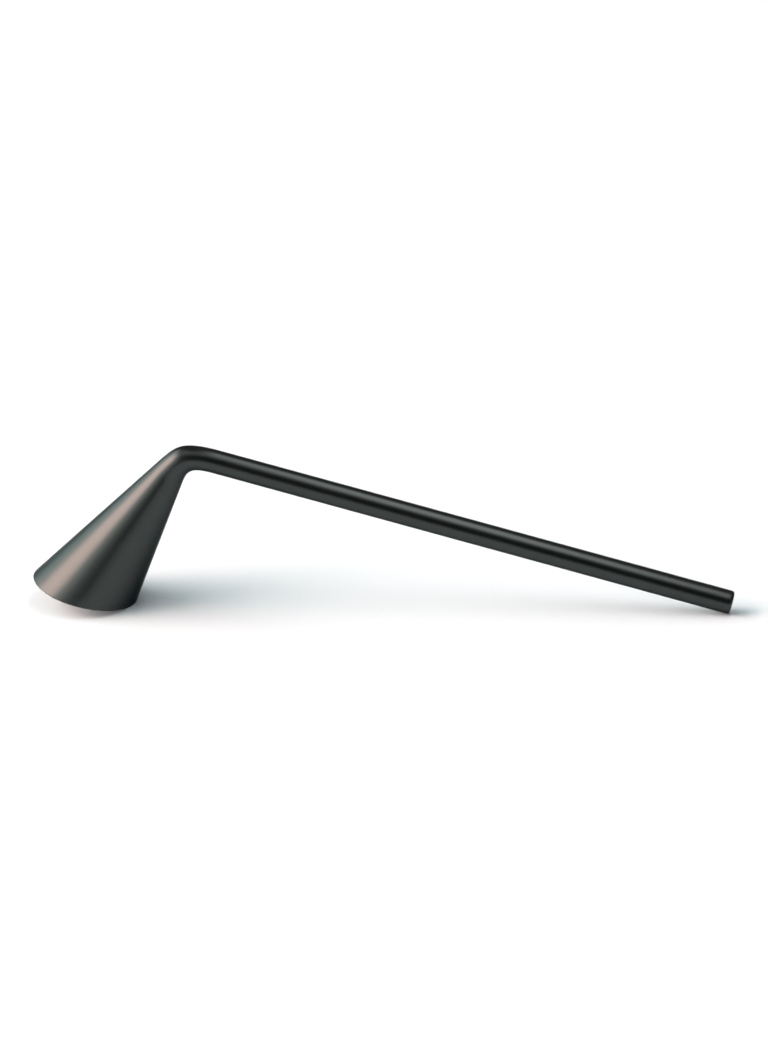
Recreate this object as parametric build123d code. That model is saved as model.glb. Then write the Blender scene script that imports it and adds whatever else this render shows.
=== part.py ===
from build123d import *
import math
import os

# A candle snuffer of blackened steel, in millimetres. A thin conical bell runs through a flowing
# elbow into a long round handle. It is drawn with its mouth level at Z = 0 and the handle along
# +X, then turned to the pose in which it lies on a table: the back of the rim and the handle's
# free end touch Z = 0, and the middle of its bounding box is at X = 0 and Y = 0.

# Handle: a plain round tube, closed by a plug at its free end
handle_dia = 8.0
handle_wall = 1.0
handle_length = 191.0  # free end to the corner where the handle's and the bell's axes meet
axis_height = 57.9  # handle's axis above the plane of the mouth

# Bell: a straight round cone that leans towards the handle, cut level at its mouth
bell_lean = 70.5  # degrees between the cone's axis and the plane of the mouth
mouth_dia = 34.1  # square to the cone's axis, where that axis meets the mouth
shoulder_dia = 11.4  # at the cone's small end
bell_wall = 1.0
rim_bevel_share = 0.4  # of the bell's wall, off the rim's outer edge
rim_easing_share = 0.15  # of the bell's wall, off the rim's inner edge

# Elbow: a cast bend, round all along, whose centre line leaves the handle and the cone with no
# curvature, so that neither end shows a line
handle_run = 12.0  # corner to the start of the straight handle
bell_run = 10.0  # corner to the cone's small end
pull_share = 0.5  # of each run that the centre line keeps to before it turns
fullness_share = 1.125  # of the handle's diameter that draws the bend's middle outwards
bend_steps = 16  # spans between the circles that the bend is lofted through

# Registers that hold the pieces in line, brazed and dressed flush outside
fit_clearance = 0.05
bell_spigot_length = 5.0
handle_spigot_length = 12.0
plug_shank_length = 8.0
lead_in = 0.5  # chamfer on the end of each register

# Free end: the plug's head carries the tube's outside on in a short band and rounds it off
plug_band = 1.0
tip_rounding = 1.0

# Derived places in the drawn frame, where the corner stands above X = 0
handle_radius = handle_dia / 2
bore_radius = handle_radius - handle_wall
lean = math.radians(bell_lean)
bell_axis = Vector(math.cos(lean), 0, math.sin(lean))
corner = Vector(0, 0, axis_height)
shoulder = corner - bell_axis * bell_run
bend_start = corner + Vector(handle_run, 0, 0)
cone_length = shoulder.Z / bell_axis.Z  # small end to the mouth, along the cone's axis
half_angle = math.atan2((mouth_dia - shoulder_dia) / 2, cone_length)
level_wall = bell_wall / math.cos(half_angle)  # wall measured square to the cone's axis
rim_bevel = bell_wall * rim_bevel_share
plug_seat = corner + Vector(handle_length - tip_rounding - plug_band, 0, 0)


def blend(values, share):
    """The Bezier curve of some control values, numbers or vectors, at a share of its run."""
    while len(values) > 1:
        values = [low * (1 - share) + high * share for low, high in zip(values, values[1:])]
    return values[0]


def cone_radius(distance):
    """Outside radius of the cone at a distance below its small end, along its axis."""
    return shoulder_dia / 2 + distance * math.tan(half_angle)


def facing(place, direction):
    """Plane through a place, square to a direction in the snuffer's middle plane."""
    return Plane(origin=place, x_dir=(0, 1, 0), z_dir=direction)


def register(place, direction, radius, length):
    """Round peg that stands out of a seat, with a chamfer to lead it in."""
    peg = facing(place, direction) * extrude(Circle(radius), length)
    return chamfer(peg.faces().sort_by(Axis(place, direction))[-1].edges(), lead_in)


def bell():
    """Thin cone turned about its leaning axis, cut level at the mouth, with both rim edges broken."""
    reach = cone_length + mouth_dia / 2
    section = Polyline(
        (shoulder_dia / 2 - level_wall, 0),
        (shoulder_dia / 2, 0),
        (cone_radius(reach), reach),
        (cone_radius(reach) - level_wall, reach),
        close=True,
    )
    # the section is drawn with its own Y down the cone's axis
    drawn = facing(shoulder, bell_axis.cross(Vector(0, 1, 0)))
    turned = revolve(drawn * make_face(section), axis=Axis(shoulder, bell_axis))
    cone = split(turned, bisect_by=Plane.XY, keep=Keep.TOP)
    rim = cone.edges().group_by(Axis.Z)[0].sort_by(SortBy.LENGTH)
    eased = chamfer(rim[0], bell_wall * rim_easing_share)
    rim = eased.edges().group_by(Axis.Z)[0].sort_by(SortBy.LENGTH)
    return chamfer(rim[-1], rim_bevel)


def elbow():
    """Flowing bend lofted through circles, with one register for the bell and one for the handle."""
    line = [
        bend_start,
        bend_start + (corner - bend_start) * pull_share,
        corner,
        shoulder + (corner - shoulder) * pull_share,
        shoulder,
    ]
    steps = [end - start for start, end in zip(line, line[1:])]
    radii = [
        handle_radius,
        handle_radius,
        handle_radius * fullness_share,
        cone_radius(-steps[-1].length),
        cone_radius(0),
    ]
    circles = []
    for step in range(bend_steps + 1):
        share = step / bend_steps
        circles.append(facing(blend(line, share), blend(steps, share)) * Circle(blend(radii, share)))
    bell_bore = shoulder_dia / 2 - level_wall
    bell_spigot = register(shoulder, -bell_axis, bell_bore - fit_clearance, bell_spigot_length)
    handle_spigot = register(
        bend_start, Vector(1, 0, 0), bore_radius - fit_clearance, handle_spigot_length
    )
    return loft(circles) + bell_spigot + handle_spigot


def handle_tube():
    """Straight tube from the elbow's shoulder to the plug's head."""
    ring = Circle(handle_radius) - Circle(bore_radius)
    return facing(bend_start, Vector(1, 0, 0)) * extrude(ring, (plug_seat - bend_start).length)


def end_plug():
    """Turned plug: a head flush with the tube, its edge rounded, on a shank in the bore."""
    head = facing(plug_seat, Vector(1, 0, 0)) * extrude(Circle(handle_radius), plug_band + tip_rounding)
    head = fillet(head.faces().sort_by(Axis.X)[-1].edges(), tip_rounding)
    shank = register(plug_seat, Vector(-1, 0, 0), bore_radius - fit_clearance, plug_shank_length)
    return head + shank


def rest_tilt():
    """Degrees about Y that lay the back of the rim and the handle's free end on one level."""
    back_slope = lean + half_angle
    apex = shoulder + bell_axis * (shoulder_dia / 2 / math.tan(half_angle))
    back = apex.X - apex.Z / math.tan(back_slope)
    # the bell stands on the inner corner of the rim's bevel, the handle on the rounding of its end
    heel = Vector(back - rim_bevel, 0, 0)
    tip_centre = plug_seat + Vector(plug_band, 0, tip_rounding - handle_radius)
    reach = tip_centre - heel
    rise = math.atan2(reach.Z, reach.X)
    return math.degrees(rise - math.asin(tip_rounding / reach.length))


pieces = {
    "bell": bell(),
    "elbow": elbow(),
    "handle_tube": handle_tube(),
    "end_plug": end_plug(),
}

laid = {name: Rot(0, rest_tilt(), 0) * piece for name, piece in pieces.items()}
box = Compound(children=[part for piece in laid.values() for part in piece.solids()]).bounding_box()
to_rest = Pos(-box.center().X, 0, -box.min.Z)

os.makedirs("parts", exist_ok=True)
for name, piece in laid.items():
    export_step(to_rest * piece, f"parts/{name}.step")
print(f"tilt {rest_tilt():.4f} degrees, size {box.size.X:.2f} x {box.size.Y:.2f} x {box.size.Z:.2f} mm")
print(f"half angle {math.degrees(half_angle):.3f} degrees, origin at {box.center().X:.4f}, {box.min.Z:.4f}")
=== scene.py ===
"""Candle snuffer of blackened steel: its pieces, finishes, lamps and camera.

A thin turned bell, a cast elbow, a drawn tube and a turned end plug, brazed and dressed flush.
Lengths are in millimetres and angles in degrees until a mesh, lamp or camera is placed; the
scene itself is in metres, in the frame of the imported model.
"""

import logging
import math
from collections.abc import Sequence
from dataclasses import dataclass
from enum import Enum

import bmesh
import bpy
from mathutils import Matrix, Vector


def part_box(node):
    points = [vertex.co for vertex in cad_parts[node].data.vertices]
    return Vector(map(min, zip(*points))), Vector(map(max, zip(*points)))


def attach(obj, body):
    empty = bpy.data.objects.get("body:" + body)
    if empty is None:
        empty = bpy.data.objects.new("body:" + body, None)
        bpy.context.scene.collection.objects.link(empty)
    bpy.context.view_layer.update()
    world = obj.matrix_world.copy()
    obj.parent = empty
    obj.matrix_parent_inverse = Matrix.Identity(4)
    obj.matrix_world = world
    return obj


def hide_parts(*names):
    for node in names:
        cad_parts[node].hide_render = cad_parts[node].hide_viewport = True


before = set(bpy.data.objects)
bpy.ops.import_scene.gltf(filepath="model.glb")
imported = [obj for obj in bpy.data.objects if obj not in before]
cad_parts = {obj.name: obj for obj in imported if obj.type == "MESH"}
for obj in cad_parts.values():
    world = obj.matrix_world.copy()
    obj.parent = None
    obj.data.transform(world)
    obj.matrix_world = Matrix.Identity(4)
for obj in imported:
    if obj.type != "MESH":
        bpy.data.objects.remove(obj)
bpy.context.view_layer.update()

log = logging.getLogger("candle_snuffer")

METRES = 0.001  # in a millimetre
SEGMENTS = 192  # points around every ring
SHARP_EDGE = math.radians(35)
ALONG_HANDLE = Vector((1.0, 0.0, 0.0))
SIDEWAYS = Vector((0.0, 1.0, 0.0))
UP = Vector((0.0, 0.0, 1.0))
NOISE_MIDDLE = 0.5

Colour = tuple[float, float, float]


def curve_point(points: Sequence[Vector], share: float) -> Vector:
    """Point on the Bezier curve of some control points.

    Args:
        points: the control points, first to last.
        share: how far along the curve, from 0 to 1.

    Returns:
        The point on the curve.
    """
    while len(points) > 1:
        points = [low.lerp(high, share) for low, high in zip(points, points[1:])]
    return points[0]


def direction(azimuth: float, elevation: float) -> Vector:
    """Way out from the snuffer.

    Args:
        azimuth: degrees from straight before the snuffer towards the handle's free end.
        elevation: degrees above the level of the floor.

    Returns:
        A vector of length 1.
    """
    around, above = math.radians(azimuth), math.radians(elevation)
    level = math.cos(above)
    return Vector((level * math.sin(around), -level * math.cos(around), math.sin(above)))


def add_object(name: str, data: bpy.types.ID) -> bpy.types.Object:
    """Put a new object into the scene.

    Args:
        name: the object's name.
        data: its mesh, lamp or camera.

    Returns:
        The new object.
    """
    made = bpy.data.objects.new(name, data)
    bpy.context.scene.collection.objects.link(made)
    return made


@dataclass(frozen=True)
class Pattern:
    """The snuffer's drawn sizes, with its mouth level at Z = 0 and its handle along +X."""

    handle_dia: float = 8.0
    handle_wall: float = 1.0
    handle_length: float = 191.0
    axis_height: float = 57.9
    bell_lean: float = 70.5
    mouth_dia: float = 34.1
    shoulder_dia: float = 11.4
    bell_wall: float = 1.0
    handle_run: float = 12.0
    bell_run: float = 10.0
    fit_clearance: float = 0.05
    plug_band: float = 1.0
    tip_rounding: float = 1.0
    rim_bevel: float = 0.4

    @property
    def handle_radius(self) -> float:
        """Outside radius of the handle."""
        return self.handle_dia / 2

    @property
    def bore_radius(self) -> float:
        """Inside radius of the handle's tube."""
        return self.handle_radius - self.handle_wall

    @property
    def bell_axis(self) -> Vector:
        """Direction up the bell's axis."""
        lean = math.radians(self.bell_lean)
        return Vector((math.cos(lean), 0.0, math.sin(lean)))

    @property
    def corner(self) -> Vector:
        """Place where the bell's and the handle's axes meet."""
        return Vector((0.0, 0.0, self.axis_height))

    @property
    def shoulder(self) -> Vector:
        """Middle of the cone's small end."""
        return self.corner - self.bell_axis * self.bell_run

    @property
    def bend_start(self) -> Vector:
        """Middle of the seam between the elbow and the straight handle."""
        return self.corner + ALONG_HANDLE * self.handle_run

    @property
    def plug_seat(self) -> Vector:
        """Middle of the seam between the tube and the end plug."""
        return self.corner + ALONG_HANDLE * (self.handle_length - self.tip_rounding - self.plug_band)

    @property
    def half_angle(self) -> float:
        """Angle between the cone's side and its axis, in radians."""
        cone_length = self.shoulder.z / self.bell_axis.z
        return math.atan2((self.mouth_dia - self.shoulder_dia) / 2, cone_length)

    @property
    def bell_bore(self) -> float:
        """Inside radius of the bell at its small end."""
        return self.shoulder_dia / 2 - self.bell_wall / math.cos(self.half_angle)

    def ruling(self, turn: float, radius: float) -> tuple[Vector, Vector]:
        """A straight line down the cone's side.

        Args:
            turn: angle around the cone's axis, in radians, from its outer side.
            radius: radius at the small end.

        Returns:
            The line's top and its direction down.
        """
        across = SIDEWAYS.cross(-self.bell_axis)
        outwards = across * math.cos(turn) + SIDEWAYS * math.sin(turn)
        down = outwards * math.sin(self.half_angle) - self.bell_axis * math.cos(self.half_angle)
        return self.shoulder + outwards * radius, down

    @property
    def rest_tilt(self) -> float:
        """Radians about Y that lay the back of the rim and the free end on one level."""
        back_slope = math.radians(self.bell_lean) + self.half_angle
        apex = self.shoulder + self.bell_axis * (self.shoulder_dia / 2 / math.tan(self.half_angle))
        heel_x = apex.x - apex.z / math.tan(back_slope) - self.rim_bevel
        tip = self.plug_seat + ALONG_HANDLE * self.plug_band
        reach = Vector((tip.x - heel_x, 0.0, tip.z + self.tip_rounding - self.handle_radius))
        return math.atan2(reach.z, reach.x) - math.asin(self.tip_rounding / reach.length)


@dataclass(frozen=True)
class RestingPlace:
    """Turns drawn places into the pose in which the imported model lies."""

    pattern: Pattern
    turn: Matrix
    shift: Vector

    @classmethod
    def over_cad(cls, pattern: Pattern) -> "RestingPlace":
        """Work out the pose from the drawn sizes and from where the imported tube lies.

        Args:
            pattern: the snuffer's drawn sizes.

        Returns:
            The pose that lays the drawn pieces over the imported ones.
        """
        turn = Matrix.Rotation(pattern.rest_tilt, 3, "Y")
        low, high = (Vector(corner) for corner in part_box("handle_tube"))
        drawn_middle = turn @ ((pattern.bend_start + pattern.plug_seat) / 2)
        return cls(pattern, turn, (low + high) / 2 / METRES - drawn_middle)

    def place(self, point: Vector) -> Vector:
        """Where a drawn point lies, in metres."""
        return (self.turn @ point + self.shift) * METRES

    def way(self, drawn: Vector) -> Vector:
        """How a drawn direction points."""
        return self.turn @ drawn


class Skin:
    """Mesh of one piece, made of rings that are joined up in order."""

    def __init__(self) -> None:
        """Start with no rings."""
        self.points: list[Vector] = []
        self.faces: list[tuple[int, ...]] = []
        self.rings: list[int] = []

    def ring(self, points: Sequence[Vector]) -> None:
        """Add a ring of drawn points, joined to the ring before it.

        Args:
            points: the ring's points in order, as many as SEGMENTS.
        """
        start = len(self.points)
        self.points.extend(points)
        if self.rings:
            self.join(self.rings[-1], start)
        self.rings.append(start)

    def circle(self, middle: Vector, way: Vector, radius: float) -> None:
        """Add a round ring.

        Args:
            middle: the middle of the ring.
            way: a direction square to the ring, in the snuffer's middle plane.
            radius: its radius.
        """
        across = SIDEWAYS.cross(way.normalized())
        points = []
        for step in range(SEGMENTS):
            turn = math.tau * step / SEGMENTS
            outwards = across * math.cos(turn) + SIDEWAYS * math.sin(turn)
            points.append(middle + outwards * radius)
        self.ring(points)

    def join(self, first: int, second: int) -> None:
        """Add the band of faces between two rings.

        Args:
            first: number of the first point of one ring.
            second: number of the first point of the other ring.
        """
        for step in range(SEGMENTS):
            after = (step + 1) % SEGMENTS
            self.faces.append((first + step, first + after, second + after, second + step))

    def cap(self, ring: int) -> None:
        """Close a ring with a fan of faces about its middle.

        Args:
            ring: number of the ring's first point.
        """
        points = self.points[ring : ring + SEGMENTS]
        middle = len(self.points)
        self.points.append(sum(points, Vector()) / SEGMENTS)
        for step in range(SEGMENTS):
            self.faces.append((ring + step, ring + (step + 1) % SEGMENTS, middle))

    def close_ends(self) -> None:
        """Close the first and the last ring, for a piece that is solid."""
        self.cap(self.rings[0])
        self.cap(self.rings[-1])

    def close_round(self) -> None:
        """Join the last ring to the first, for a piece with a hole right through."""
        self.join(self.rings[-1], self.rings[0])

    def make(self, name: str, rest: RestingPlace) -> bpy.types.Object:
        """Write the mesh in its resting pose.

        Args:
            name: name of the new object.
            rest: the pose that the drawn points are laid in.

        Returns:
            The new object, smooth but for its sharp edges.
        """
        form = bmesh.new()
        corners = [form.verts.new(rest.place(point)) for point in self.points]
        for face in self.faces:
            form.faces.new([corners[index] for index in face])
        bmesh.ops.recalc_face_normals(form, faces=form.faces)
        for face in form.faces:
            face.smooth = True
        mesh = bpy.data.meshes.new(name)
        form.to_mesh(mesh)
        form.free()
        mesh.set_sharp_from_angle(angle=SHARP_EDGE)
        return add_object(name, mesh)


class Signal:
    """One output of a shader node; Python's operators on it add Math nodes."""

    def __init__(self, board: "Board", socket: bpy.types.NodeSocket) -> None:
        """Wrap a socket of a board's node tree."""
        self.board = board
        self.socket = socket

    def math(self, operation: str, *parts: "Signal | float") -> "Signal":
        """Add a Math node of some operation on the given parts."""
        return self.board.node("ShaderNodeMath", {"operation": operation}, dict(enumerate(parts)))

    def __add__(self, other: "Signal | float") -> "Signal":
        """Sum."""
        return self.math("ADD", self, other)

    def __radd__(self, other: float) -> "Signal":
        """Sum with a number in front."""
        return self.math("ADD", other, self)

    def __sub__(self, other: "Signal | float") -> "Signal":
        """Difference."""
        return self.math("SUBTRACT", self, other)

    def __rsub__(self, other: float) -> "Signal":
        """Difference from a number."""
        return self.math("SUBTRACT", other, self)

    def __mul__(self, other: "Signal | float") -> "Signal":
        """Product."""
        return self.math("MULTIPLY", self, other)

    def __rmul__(self, other: float) -> "Signal":
        """Product with a number in front."""
        return self.math("MULTIPLY", other, self)

    def ramp(self, low: float, high: float) -> "Signal":
        """Rise smoothly from 0 at one value to 1 at another."""
        sockets = {"Value": self, "From Min": low, "From Max": high, "To Min": 0.0, "To Max": 1.0}
        return self.board.node("ShaderNodeMapRange", {"interpolation_type": "SMOOTHSTEP"}, sockets)


class Board:
    """Node tree of a material or of the room, with a method for each kind of step."""

    def __init__(self, tree: bpy.types.NodeTree) -> None:
        """Clear the tree and start afresh."""
        self.tree = tree
        tree.nodes.clear()

    def node(
        self,
        kind: str,
        settings: dict[str, object] | None = None,
        sockets: dict[str | int, object] | None = None,
        output: str | int = 0,
    ) -> Signal | None:
        """Add a node.

        Args:
            kind: the node's type.
            settings: its own settings, which are set first.
            sockets: values or signals for its inputs, by name or number.
            output: which output to hand on.

        Returns:
            The chosen output, or nothing for a node that ends a tree.
        """
        made = self.tree.nodes.new(kind)
        for name, value in (settings or {}).items():
            setattr(made, name, value)
        for key, value in (sockets or {}).items():
            if isinstance(value, Signal):
                self.tree.links.new(value.socket, made.inputs[key])
            else:
                made.inputs[key].default_value = value
        return Signal(self, made.outputs[output]) if made.outputs else None

    def vector(self, operation: str, *parts: Signal | tuple[float, ...]) -> Signal:
        """Add a Vector Math node of some operation that gives a vector."""
        return self.node("ShaderNodeVectorMath", {"operation": operation}, dict(enumerate(parts)))

    def scaled(self, vector: Signal | tuple[float, ...], scale: Signal | float) -> Signal:
        """Add a Vector Math node that makes a vector longer or shorter."""
        return self.node("ShaderNodeVectorMath", {"operation": "SCALE"}, {0: vector, "Scale": scale})

    def reach(self, vector: Signal, way: Vector) -> Signal:
        """Add a Vector Math node that tells how far a vector reaches in a direction."""
        settings = {"operation": "DOT_PRODUCT"}
        return self.node("ShaderNodeVectorMath", settings, {0: vector, 1: tuple(way)}, "Value")

    def noise(self, where: Signal, scale: float, detail: float) -> Signal:
        """Add a noise that runs from 0 to 1 over some coordinates."""
        sockets = {"Vector": where, "Scale": scale, "Detail": detail}
        return self.node("ShaderNodeTexNoise", {}, sockets)

    def mix(self, share: Signal, low: Signal | Colour, high: Signal | Colour) -> Signal:
        """Mix two colours.

        Args:
            share: how much of the second colour shows, from 0 to 1.
            low: the first colour.
            high: the second colour.

        Returns:
            The mixed colour.
        """
        factor, first, second, result = 0, 6, 7, 2  # numbers of the sockets that mix colours
        sockets = {
            factor: share,
            first: low if isinstance(low, Signal) else (*low, 1.0),
            second: high if isinstance(high, Signal) else (*high, 1.0),
        }
        return self.node("ShaderNodeMix", {"data_type": "RGBA"}, sockets, result)


class Lay(Enum):
    """Which way the fine marks of a finish run, as counts per metre around and along its axis."""

    TURNED = (60.0, 9000.0)
    DRAWN = (5200.0, 40.0)
    CAST = (2600.0, 2600.0)


@dataclass(frozen=True)
class WornEdge:
    """A free edge that use has rubbed."""

    place: Vector  # a place on the edge, in metres
    inwards: Vector  # way in from the edge
    width: float  # how far in the rubbing reaches, in metres


@dataclass(frozen=True)
class BlackSteel:
    """Satin black finish over steel, mottled a little, and a little rubbed at its free edges."""

    name: str
    lay: Lay
    tone: Colour = (0.0460, 0.0515, 0.0505)
    tone_play: float = 0.16  # share by which the tone strays either way
    edge_tint: Colour = (0.42, 0.43, 0.43)
    roughness: float = 0.30
    roughness_play: float = 0.05
    patch_scale: float = 95.0  # per metre
    patch_detail: float = 3.0
    grain_scale: float = 1330.0
    grain_detail: float = 2.0
    grain_weight: float = 0.4  # in the tone, against 1 for the patches
    mark_detail: float = 2.0
    mark_weight: float = 0.4  # in the roughness, where the patches have the rest
    mark_depth: float = 0.0000022  # metres
    worn_tone: Colour = (0.105, 0.110, 0.106)
    worn_most: float = 0.6
    worn_core: float = 0.3  # share of the worn width that is rubbed to the full
    worn_grain: tuple[float, float] = (0.35, 0.65)  # grain that keeps its black, and that loses it
    worn_polish: float = 0.05

    def material(
        self, start: Vector, way: Vector, worn_edge: WornEdge | None = None
    ) -> bpy.types.Material:
        """Build the material for a piece.

        Args:
            start: a place on the axis that the marks run round, in metres.
            way: the axis's direction.
            worn_edge: the piece's rubbed edge, if it has one.

        Returns:
            The new material.
        """
        made = bpy.data.materials.new(self.name)
        made.use_nodes = True
        board = Board(made.node_tree)
        where = board.node("ShaderNodeTexCoord", {}, {}, "Object")
        from_start = board.vector("SUBTRACT", where, tuple(start))
        on_axis = board.scaled(tuple(way), board.reach(from_start, way))
        outwards = board.vector("SUBTRACT", from_start, on_axis)

        patches = board.noise(where, self.patch_scale, self.patch_detail)
        grain = board.noise(where, self.grain_scale, self.grain_detail)
        around, along = self.lay.value
        stretched = board.vector("ADD", board.scaled(outwards, around), board.scaled(on_axis, along))
        marks = board.noise(stretched, 1.0, self.mark_detail)

        stray = patches - NOISE_MIDDLE + (grain - NOISE_MIDDLE) * self.grain_weight
        low = tuple(part * (1 - self.tone_play) for part in self.tone)
        high = tuple(part * (1 + self.tone_play) for part in self.tone)
        colour = board.mix(stray * 0.5 + 0.5, low, high)
        unevenness = patches * (1 - self.mark_weight) + marks * self.mark_weight - NOISE_MIDDLE
        roughness = unevenness * self.roughness_play + self.roughness
        if worn_edge:
            from_edge = board.vector("SUBTRACT", where, tuple(worn_edge.place))
            depth = board.reach(from_edge, worn_edge.inwards)
            near = 1 - depth.ramp(worn_edge.width * self.worn_core, worn_edge.width)
            rubbed = near * grain.ramp(*self.worn_grain) * self.worn_most
            colour = board.mix(rubbed, colour, self.worn_tone)
            roughness = roughness - rubbed * self.worn_polish
        bumps = board.node(
            "ShaderNodeBump", {}, {"Strength": 1.0, "Distance": self.mark_depth, "Height": marks}
        )
        sockets = {
            "Base Color": colour,
            "Metallic": 1.0,
            "Roughness": roughness,
            "Specular Tint": (*self.edge_tint, 1.0),
            "Normal": bumps,
        }
        shader = board.node("ShaderNodeBsdfPrincipled", {}, sockets)
        board.node("ShaderNodeOutputMaterial", {}, {"Surface": shader})
        return made


@dataclass
class Bell:
    """Thin turned cone, cut level at its mouth, with a rounded rim."""

    pattern: Pattern
    rest: RestingPlace
    finish: BlackSteel = BlackSteel("bell_black", Lay.TURNED)
    worn_width: float = 0.6
    outer_rounding: float = 0.52
    inner_rounding: float = 0.26
    wall_bands: int = 10
    rounding_bands: int = 8

    def profile(self, turn: float) -> list[Vector]:
        """The wall's outline at one angle: down the outside, round the rim and up the inside.

        Args:
            turn: angle around the cone's axis, in radians.

        Returns:
            The outline's points in order.
        """
        outer_top, down = self.pattern.ruling(turn, self.pattern.shoulder_dia / 2)
        inner_top, _ = self.pattern.ruling(turn, self.pattern.bell_bore)
        outer_edge = outer_top - down * (outer_top.z / down.z)
        inner_edge = inner_top - down * (inner_top.z / down.z)
        inwards = (inner_edge - outer_edge).normalized()
        outer_end = outer_edge - down * self.outer_rounding
        inner_end = inner_edge - down * self.inner_rounding
        outer_curve = [outer_end, outer_edge, outer_edge + inwards * self.outer_rounding]
        inner_curve = [inner_edge - inwards * self.inner_rounding, inner_edge, inner_end]
        down_shares = [step / self.wall_bands for step in range(self.wall_bands)]
        outside = [outer_top.lerp(outer_end, share) for share in down_shares]
        inside = [inner_top.lerp(inner_end, share) for share in reversed(down_shares)]
        rim_shares = [step / self.rounding_bands for step in range(self.rounding_bands + 1)]
        rim = [curve_point(curve, share) for curve in (outer_curve, inner_curve) for share in rim_shares]
        return outside + rim + inside

    def build(self) -> bpy.types.Object:
        """Build and dress the bell.

        Returns:
            The finished bell.
        """
        profiles = [self.profile(math.tau * step / SEGMENTS) for step in range(SEGMENTS)]
        skin = Skin()
        for points in zip(*profiles):
            skin.ring(points)
        skin.close_round()
        piece = skin.make("bell_cone", self.rest)
        rim = WornEdge(self.rest.place(Vector()), self.rest.way(UP), self.worn_width * METRES)
        top, way = self.rest.place(self.pattern.shoulder), self.rest.way(self.pattern.bell_axis)
        piece.data.materials.append(self.finish.material(top, way, rim))
        return piece


@dataclass(frozen=True)
class Edge:
    """One edge of the bend in the middle plane, which leaves the tube and the bell along their sides.

    Each value is a share of the way out to a seam from where the two straight sides would meet.
    """

    tube_hold: float
    tube_turn: float
    bell_turn: float
    bell_hold: float

    def line(self, tube_end: Vector, meeting: Vector, bell_end: Vector) -> list[Vector]:
        """Control points of the edge.

        Args:
            tube_end: the edge's end on the tube's seam.
            meeting: where the tube's and the bell's straight sides would meet.
            bell_end: the edge's end on the bell's seam.

        Returns:
            The points in order, from the tube to the bell.
        """
        return [
            tube_end,
            meeting.lerp(tube_end, self.tube_hold),
            meeting.lerp(tube_end, self.tube_turn),
            meeting.lerp(bell_end, self.bell_turn),
            meeting.lerp(bell_end, self.bell_hold),
            bell_end,
        ]


@dataclass
class Elbow:
    """Cast bend, round all along, with a register for the bell and one for the tube."""

    pattern: Pattern
    rest: RestingPlace
    finish: BlackSteel = BlackSteel("elbow_black", Lay.CAST)
    outer_edge: Edge = Edge(tube_hold=0.83, tube_turn=0.15, bell_turn=0.15, bell_hold=0.30)
    inner_edge: Edge = Edge(tube_hold=0.92, tube_turn=0.12, bell_turn=0.02, bell_hold=0.68)
    bell_spigot: float = 5.0
    handle_spigot: float = 12.0
    lead_in: float = 0.5
    bands: int = 72

    def edge_line(self, edge: Edge, turn: float) -> list[Vector]:
        """Control points of one edge of the bend, where its sides are in the middle plane.

        Args:
            edge: how the edge leaves its two sides.
            turn: angle around the cone's axis, 0 for the outer side and half a turn for the inner.

        Returns:
            The points in order, from the tube to the bell.
        """
        size = self.pattern
        bell_end, down = size.ruling(turn, size.shoulder_dia / 2)
        tube_end = size.bend_start + UP * (size.handle_radius * math.cos(turn))
        meeting = bell_end + down * ((tube_end.z - bell_end.z) / down.z)
        return edge.line(tube_end, meeting, bell_end)

    def build(self) -> bpy.types.Object:
        """Build and dress the elbow.

        Returns:
            The finished elbow.
        """
        size = self.pattern
        start, end = size.bend_start, size.shoulder
        outer = self.edge_line(self.outer_edge, 0.0)
        inner = self.edge_line(self.inner_edge, math.pi)
        skin = Skin()
        tube_fit = size.bore_radius - size.fit_clearance
        tip = start + ALONG_HANDLE * self.handle_spigot
        skin.circle(tip, -ALONG_HANDLE, tube_fit - self.lead_in)
        skin.circle(tip - ALONG_HANDLE * self.lead_in, -ALONG_HANDLE, tube_fit)
        skin.circle(start, -ALONG_HANDLE, tube_fit)
        for step in range(self.bands + 1):
            share = step / self.bands
            outside, inside = curve_point(outer, share), curve_point(inner, share)
            across = outside - inside
            skin.circle((outside + inside) / 2, across.cross(SIDEWAYS), across.length / 2)
        down = -size.bell_axis
        bell_fit = size.bell_bore - size.fit_clearance
        skin.circle(end, down, bell_fit)
        skin.circle(end + down * (self.bell_spigot - self.lead_in), down, bell_fit)
        skin.circle(end + down * self.bell_spigot, down, bell_fit - self.lead_in)
        skin.close_ends()
        piece = skin.make("elbow_bend", self.rest)
        middle, way = self.rest.place(size.corner), self.rest.way(ALONG_HANDLE)
        piece.data.materials.append(self.finish.material(middle, way))
        return piece


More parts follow.
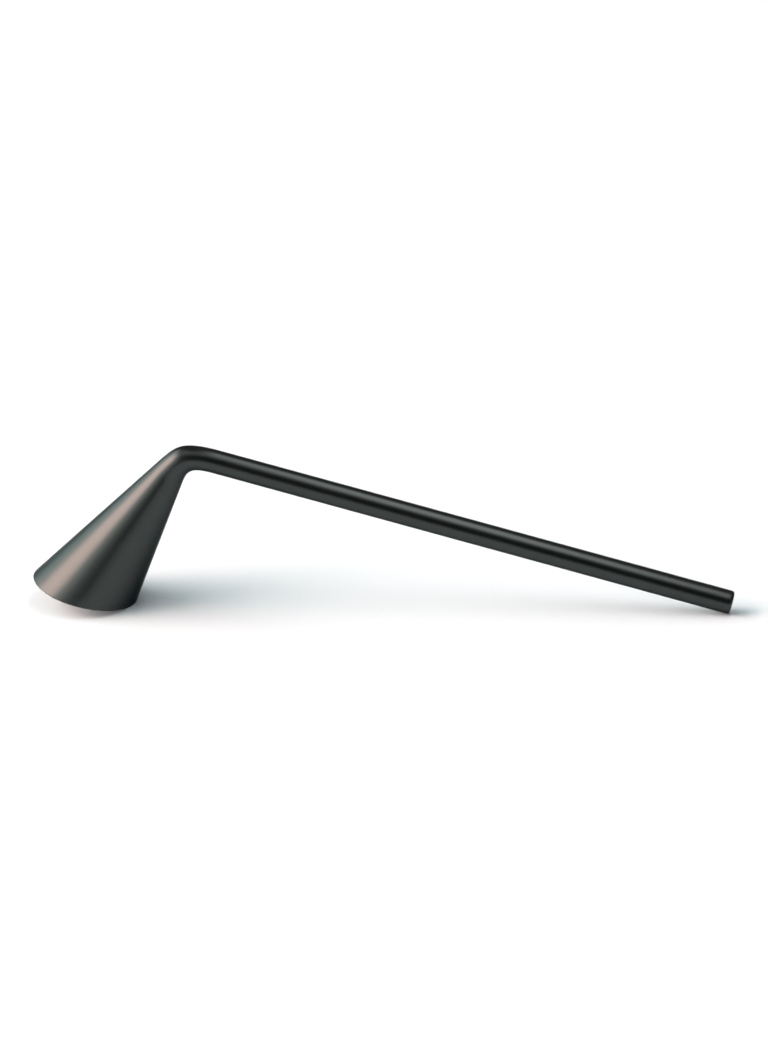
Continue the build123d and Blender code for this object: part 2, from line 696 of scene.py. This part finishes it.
@dataclass
class Handle:
    """Drawn tube and the turned plug that closes it."""

    pattern: Pattern
    rest: RestingPlace
    tube_finish: BlackSteel = BlackSteel("handle_black", Lay.DRAWN)
    plug_finish: BlackSteel = BlackSteel("plug_black", Lay.TURNED)
    worn_width: float = 0.7
    shank: float = 8.0
    lead_in: float = 0.5
    tube_bands: int = 24
    rounding_bands: int = 8

    def build_tube(self) -> bpy.types.Object:
        """Build and dress the tube.

        Returns:
            The finished tube.
        """
        size = self.pattern
        start, end = size.bend_start, size.plug_seat
        skin = Skin()
        for step in range(self.tube_bands + 1):
            skin.circle(start.lerp(end, step / self.tube_bands), ALONG_HANDLE, size.handle_radius)
        for step in range(self.tube_bands + 1):
            skin.circle(end.lerp(start, step / self.tube_bands), ALONG_HANDLE, size.bore_radius)
        skin.close_round()
        piece = skin.make("handle_tube_drawn", self.rest)
        way = self.rest.way(ALONG_HANDLE)
        piece.data.materials.append(self.tube_finish.material(self.rest.place(start), way))
        return piece

    def build_plug(self) -> bpy.types.Object:
        """Build and dress the plug.

        Returns:
            The finished plug.
        """
        size = self.pattern
        seat = size.plug_seat
        fit = size.bore_radius - size.fit_clearance
        skin = Skin()
        skin.circle(seat - ALONG_HANDLE * self.shank, ALONG_HANDLE, fit - self.lead_in)
        skin.circle(seat - ALONG_HANDLE * (self.shank - self.lead_in), ALONG_HANDLE, fit)
        skin.circle(seat, ALONG_HANDLE, fit)
        skin.circle(seat, ALONG_HANDLE, size.handle_radius)
        round_start = seat + ALONG_HANDLE * size.plug_band
        for step in range(self.rounding_bands + 1):
            turn = math.pi / 2 * step / self.rounding_bands
            middle = round_start + ALONG_HANDLE * (size.tip_rounding * math.sin(turn))
            radius = size.handle_radius - size.tip_rounding * (1 - math.cos(turn))
            skin.circle(middle, ALONG_HANDLE, radius)
        skin.close_ends()
        piece = skin.make("end_plug_turned", self.rest)
        face = self.rest.place(round_start + ALONG_HANDLE * size.tip_rounding)
        way = self.rest.way(ALONG_HANDLE)
        worn = WornEdge(face, -way, self.worn_width * METRES)
        piece.data.materials.append(self.plug_finish.material(self.rest.place(seat), way, worn))
        return piece


@dataclass(frozen=True)
class Softbox:
    """Large soft lamp that hangs in one direction from the snuffer and faces it."""

    name: str
    azimuth: float  # from straight before the snuffer towards its free end
    elevation: float
    distance: float  # metres
    width: float  # degrees that it fills, seen from the snuffer
    height: float  # degrees
    roll: float
    colour: Colour
    radiance: float  # against 1 for a white card in full light

    def hang(self) -> bpy.types.Object:
        """Make the lamp and face it at the snuffer.

        Returns:
            The lamp.
        """
        towards = direction(self.azimuth, self.elevation)
        lamp = bpy.data.lights.new(self.name, "AREA")
        lamp.shape = "ELLIPSE"
        lamp.size = 2 * self.distance * math.tan(math.radians(self.width / 2))
        lamp.size_y = 2 * self.distance * math.tan(math.radians(self.height / 2))
        lamp.color = self.colour
        opening = math.pi / 4 * lamp.size * lamp.size_y
        lamp.energy = self.radiance * math.pi * opening
        placed = add_object(self.name, lamp)
        facing = towards.to_track_quat("Z", "Y").to_matrix().to_4x4()
        turned = Matrix.Rotation(math.radians(self.roll), 4, "Z")
        placed.matrix_world = Matrix.Translation(towards * self.distance) @ facing @ turned
        placed.visible_camera = False
        return placed


@dataclass(frozen=True)
class Studio:
    """White floor, dark room, soft lamps and the camera."""

    floor_radius: float = 14.0  # metres
    floor_sides: int = 96
    floor_tone: Colour = (0.74, 0.825, 0.86)
    room_tone: Colour = (0.03, 0.033, 0.034)
    wall_tone: Colour = (0.26, 0.27, 0.27)
    wall_core: float = 0.9  # how nearly straight back the wall is at its palest, as a cosine
    aim: tuple[float, float, float] = (0.00169, 0.00004, 0.02784)  # metres
    camera_distance: float = 1.47814  # metres from the aim
    camera_azimuth: float = 8.133
    camera_elevation: float = 22.548
    camera_roll: float = -2.115
    lens: float = 205.903
    sensor: float = 36.0
    # name, azimuth, elevation, distance, width, height, roll, colour, radiance
    lamps: tuple[Softbox, ...] = (
        Softbox("key_core", -76.5, 28.0, 9.0, 40.0, 33.0, 0.0, (1.0, 0.55, 0.46), 6.6),
        Softbox("key_inner", -81.0, 29.0, 9.1, 60.0, 38.0, 0.0, (1.0, 0.90, 0.85), 2.8),
        Softbox("key_outer", -80.0, 28.0, 9.2, 94.0, 48.0, 0.0, (1.0, 0.97, 0.93), 1.65),
        Softbox("key_rim", -76.0, 20.0, 9.3, 126.0, 36.0, 0.0, (0.93, 1.0, 0.98), 0.9),
        Softbox("cool_side", -130.0, 12.0, 9.0, 40.0, 26.0, 0.0, (0.80, 1.0, 1.0), 2.7),
        Softbox("canopy", -90.0, 51.0, 5.0, 64.0, 20.0, 0.0, (1.0, 1.0, 1.0), 1.3),
        Softbox("bend_side", -114.0, 43.0, 5.0, 34.0, 16.0, 0.0, (1.0, 1.0, 1.0), 2.9),
        Softbox("bend_top", -65.0, 73.0, 3.0, 36.0, 14.0, 0.0, (1.0, 1.0, 1.0), 1.3),
        Softbox("front_top", -18.0, 60.0, 5.0, 74.0, 26.0, 0.0, (0.97, 1.0, 0.99), 0.55),
        Softbox("overhead", 75.0, 74.2, 1.8, 44.0, 11.0, 19.0, (1.0, 0.96, 0.96), 3.7),
        Softbox("overhead_rim", 75.0, 74.2, 1.9, 60.0, 15.0, 19.0, (1.0, 0.97, 0.97), 2.0),
        Softbox("back_wall", 172.0, 26.0, 6.0, 60.0, 22.0, 0.0, (1.0, 1.0, 1.0), 0.5),
    )

    def lay_floor(self) -> bpy.types.Object:
        """Lay a plain white floor under the snuffer.

        Returns:
            The floor.
        """
        form = bmesh.new()
        bmesh.ops.create_circle(
            form, cap_ends=True, radius=self.floor_radius, segments=self.floor_sides
        )
        mesh = bpy.data.meshes.new("floor")
        form.to_mesh(mesh)
        form.free()
        floor = add_object("floor", mesh)
        paper = bpy.data.materials.new("floor_paper")
        paper.use_nodes = True
        board = Board(paper.node_tree)
        sockets = {"Base Color": (*self.floor_tone, 1.0), "Roughness": 1.0, "Specular IOR Level": 0.0}
        shader = board.node("ShaderNodeBsdfPrincipled", {}, sockets)
        board.node("ShaderNodeOutputMaterial", {}, {"Surface": shader})
        mesh.materials.append(paper)
        return floor

    def light_room(self) -> None:
        """Fill the room beyond the lamps: dark before the snuffer, a paler wall behind it."""
        room = bpy.data.worlds.new("room")
        room.use_nodes = True
        board = Board(room.node_tree)
        towards = board.node("ShaderNodeTexCoord", {}, {}, "Generated")
        behind = board.reach(towards, SIDEWAYS).ramp(0.0, self.wall_core)
        colour = board.mix(behind, self.room_tone, self.wall_tone)
        shade = board.node("ShaderNodeBackground", {}, {"Color": colour, "Strength": 1.0})
        board.node("ShaderNodeOutputWorld", {}, {"Surface": shade})
        bpy.context.scene.world = room

    def stand_camera(self) -> bpy.types.Object:
        """Stand the camera where the photograph was taken from.

        Returns:
            The camera.
        """
        back = direction(self.camera_azimuth, self.camera_elevation)
        level = UP.cross(back).normalized()
        upright = Matrix((level, back.cross(level), back)).transposed().to_4x4()
        view = bpy.data.cameras.new("camera")
        view.sensor_fit = "HORIZONTAL"
        view.sensor_width = self.sensor
        view.lens = self.lens
        camera = add_object("camera", view)
        rolled = Matrix.Rotation(math.radians(self.camera_roll), 4, "Z")
        stand = Matrix.Translation(Vector(self.aim) + back * self.camera_distance)
        camera.matrix_world = stand @ upright @ rolled
        bpy.context.scene.camera = camera
        return camera

    def set_up(self) -> None:
        """Set up the whole studio."""
        self.lay_floor()
        self.light_room()
        self.stand_camera()
        for lamp in self.lamps:
            lamp.hang()
        bpy.context.scene.view_settings.view_transform = "Standard"


def report(piece: bpy.types.Object, node: str) -> None:
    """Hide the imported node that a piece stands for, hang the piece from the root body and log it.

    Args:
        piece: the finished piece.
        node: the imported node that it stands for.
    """
    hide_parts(node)
    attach(piece, "root")
    log.info("%s stands for %s, %d faces", piece.name, node, len(piece.data.polygons))


def main() -> None:
    """Build the snuffer's pieces in order, then the studio around them."""
    logging.basicConfig(level=logging.INFO, format="%(message)s")
    pattern = Pattern()
    rest = RestingPlace.over_cad(pattern)
    handle = Handle(pattern, rest)
    report(Bell(pattern, rest).build(), "bell")
    report(Elbow(pattern, rest).build(), "elbow")
    report(handle.build_tube(), "handle_tube")
    report(handle.build_plug(), "end_plug")
    Studio().set_up()


if __name__ == "__main__":
    main()
